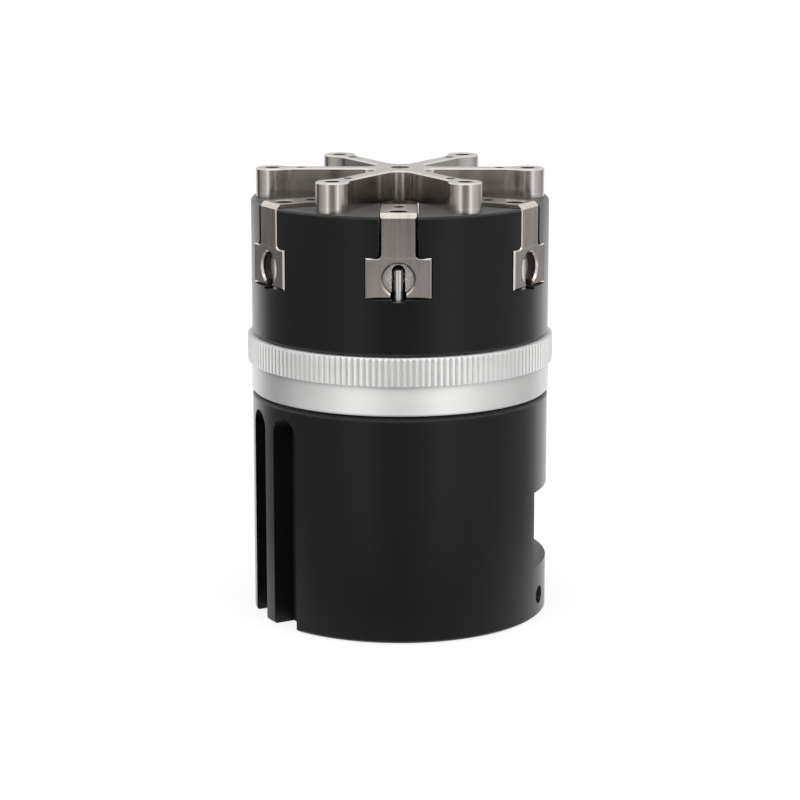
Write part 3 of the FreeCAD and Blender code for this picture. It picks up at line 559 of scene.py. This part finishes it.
# Floor: a pale studio sheet that stays white to the camera and takes the soft shadow of the part.
# Polished faces see it as the lamps light it: bright strips left and right of the front, dim at the sides,
# and the darker room beyond its edge.
sheet_half, sheet_drop = 4.0, -0.0003
front_shift = 0.046
foot_near, foot_far = 0.05, 0.16
foot_front, foot_back, front_tone, back_tone = -0.075, 0.010, 0.50, 1.30
fade_start, fade_end = 0.75, 0.83
white_share = 0.80
floor_tones = (
    (-180, 1.45), (-140, 1.70), (-130, 0.60), (-122, 0.06), (-108, 0.08), (-92, 0.30), (-66, 0.50), (-44, 0.85),
    (-33, 1.52), (-22, 0.95), (-10, 0.63), (8, 0.63), (26, 0.95), (38, 1.70), (50, 1.00), (72, 0.68), (98, 0.52),
    (116, 0.36), (125, 0.42), (140, 1.5), (180, 1.5))
room_tones = (
    (-180, 0.66), (-140, 0.95), (-130, 0.50), (-122, 0.10), (-108, 0.14), (-92, 0.45), (-66, 0.64), (-44, 0.85),
    (-33, 1.45), (-22, 0.60), (-14, 0.05), (12, 0.05), (26, 0.60), (38, 1.60), (50, 0.95), (72, 0.80), (98, 0.66),
    (116, 0.40), (125, 0.46), (140, 0.85), (180, 0.66))
floor_mesh = bpy.data.meshes.new("floor")
sheet_corners = [(x * sheet_half, y * sheet_half, sheet_drop) for x, y in ((-1, -1), (1, -1), (1, 1), (-1, 1))]
floor_mesh.from_pydata(sheet_corners, [], [(0, 1, 2, 3)])
floor = bpy.data.objects.new("floor", floor_mesh)
bpy.context.scene.collection.objects.link(floor)
pale_sheet = bpy.data.materials.new("pale_sheet")
pale_sheet.use_nodes = True
tree = pale_sheet.node_tree
tree.nodes.clear()


def room_tone(tree, place, stops):
    """Grey of the room by the way round the part, from pairs of angle and grey: the angle is 0 in front,
    positive to the right and 180 degrees behind."""
    across, along, _ = split_place(tree, place)
    turn = sum_up(tree, "ARCTAN2", across, sum_up(tree, "MULTIPLY", along, -1.0))
    ramp = tree.nodes.new("ShaderNodeValToRGB")
    ramp.color_ramp.interpolation = "EASE"
    points = ramp.color_ramp.elements
    while len(points) < len(stops):
        points.new(0.5)
    for point, (angle, grey) in zip(points, stops):
        point.position = (angle + 180) / 360
        point.color = (grey, grey, grey, 1)
    tree.links.new(sum_up(tree, "MULTIPLY_ADD", turn, 0.5 / math.pi, 0.5), ramp.inputs["Fac"])
    return ramp.outputs["Color"]


def choose(tree, amount, first, second):
    """Mix of two shaders by an amount from 0 to 1."""
    mix = tree.nodes.new("ShaderNodeMixShader")
    feed(tree, mix.inputs["Fac"], amount)
    tree.links.new(first, mix.inputs[1])
    tree.links.new(second, mix.inputs[2])
    return mix.outputs["Shader"]


paper = tree.nodes.new("ShaderNodeBsdfDiffuse")
paper.inputs["Color"].default_value = (0.90, 0.90, 0.90, 1)
white = tree.nodes.new("ShaderNodeEmission")
white.inputs["Color"].default_value = (1, 1, 1, 1)
shift = tree.nodes.new("ShaderNodeVectorMath")
shift.inputs[1].default_value = (0, front_shift, 0)
tree.links.new(object_place(tree), shift.inputs[0])
from_front = shift.outputs["Vector"]
reach = tree.nodes.new("ShaderNodeVectorMath")
reach.operation = "LENGTH"
tree.links.new(from_front, reach.inputs[0])
under_part = between(tree, split_place(tree, object_place(tree))[1], front_tone, back_tone, foot_front, foot_back)
away_from_part = between(tree, reach.outputs["Value"], 0.0, 1.0, foot_near, foot_far)
sheet_end = between(tree, reach.outputs["Value"], 0.0, 1.0, fade_start, fade_end)
sheet_tone = blend_tint(tree, away_from_part, under_part, room_tone(tree, from_front, floor_tones))
mirrored = tree.nodes.new("ShaderNodeEmission")
tree.links.new(blend_tint(tree, sheet_end, sheet_tone, room_tone(tree, from_front, room_tones)),
               mirrored.inputs["Color"])
path = tree.nodes.new("ShaderNodeLightPath")
seen = choose(tree, white_share, paper.outputs["BSDF"], white.outputs["Emission"])
bounced = choose(tree, path.outputs["Is Glossy Ray"], paper.outputs["BSDF"], mirrored.outputs["Emission"])
output = tree.nodes.new("ShaderNodeOutputMaterial")
tree.links.new(choose(tree, path.outputs["Is Camera Ray"], bounced, seen), output.inputs["Surface"])
floor_mesh.materials.append(pale_sheet)

# Studio: a pale room with a white wall behind and dim sides, two soft boxes high on the left and right of the
# camera that light the aluminium ring and the edges, and a broad soft lamp overhead.
ceiling_tone = (1.25, 1.25, 1.25)
wall_top, ceiling_low = 0.22, 0.50
lamp_aim = (0, 0, 0.08)
room = bpy.data.worlds.new("room")
room.use_nodes = True
bpy.context.scene.world = room
tree = room.node_tree
tree.nodes.clear()
way = tree.nodes.new("ShaderNodeTexCoord").outputs["Generated"]
ceiling = between(tree, split_place(tree, way)[2], 0.0, 1.0, wall_top, ceiling_low)
wall = tree.nodes.new("ShaderNodeBackground")
tree.links.new(blend_tint(tree, ceiling, room_tone(tree, way, room_tones), ceiling_tone), wall.inputs["Color"])
white_wall = tree.nodes.new("ShaderNodeBackground")
white_wall.inputs["Strength"].default_value = 1.0
white_wall.inputs["Color"].default_value = (1, 1, 1, 1)
path = tree.nodes.new("ShaderNodeLightPath")
output = tree.nodes.new("ShaderNodeOutputWorld")
tree.links.new(choose(tree, path.outputs["Is Camera Ray"], wall.outputs["Background"],
                      white_wall.outputs["Background"]), output.inputs["Surface"])


def soft_box(name, watts, width, height, azimuth, elevation, distance):
    """Rectangular soft lamp at that angle round the part and above the floor, aimed at the part's middle."""
    lamp = bpy.data.lights.new(name, "AREA")
    lamp.shape = "RECTANGLE"
    lamp.size, lamp.size_y = width, height
    lamp.energy = watts
    holder = bpy.data.objects.new(name, lamp)
    swing, lift = math.radians(azimuth), math.radians(elevation)
    away = np.array([math.cos(lift) * math.cos(swing), math.cos(lift) * math.sin(swing), math.sin(lift)])
    holder.location = away * distance + np.array(lamp_aim)
    holder.rotation_euler = (math.pi / 2 - lift, 0, swing + math.pi / 2)
    bpy.context.scene.collection.objects.link(holder)


soft_box("left_box", 2.6, 0.8, 0.6, -123.0, 48.0, 1.1)
soft_box("right_box", 2.6, 0.8, 0.6, -51.0, 48.0, 1.1)
soft_box("top_box", 0.6, 1.0, 1.0, -90.0, 80.0, 1.2)

# Camera: a long lens a little above the part and almost square to its front jaw.
# It looks at the part's middle from about three quarters of a metre.
swing, lift, distance, aim_height = math.radians(-90.0 + 0.6), math.radians(12.0), 0.7679, 0.06162
lens = bpy.data.cameras.new("camera")
lens.sensor_width = 36.0
lens.lens = 119.2
lens.shift_y = -0.005
lens.clip_start = 0.01
camera = bpy.data.objects.new("camera", lens)
camera.location = (distance * math.cos(lift) * math.cos(swing), distance * math.cos(lift) * math.sin(swing),
                   aim_height + distance * math.sin(lift))
camera.rotation_euler = (math.pi / 2 - lift, 0, swing + math.pi / 2)
bpy.context.scene.collection.objects.link(camera)
bpy.context.scene.camera = camera
bpy.context.scene.view_settings.view_transform = "Standard"
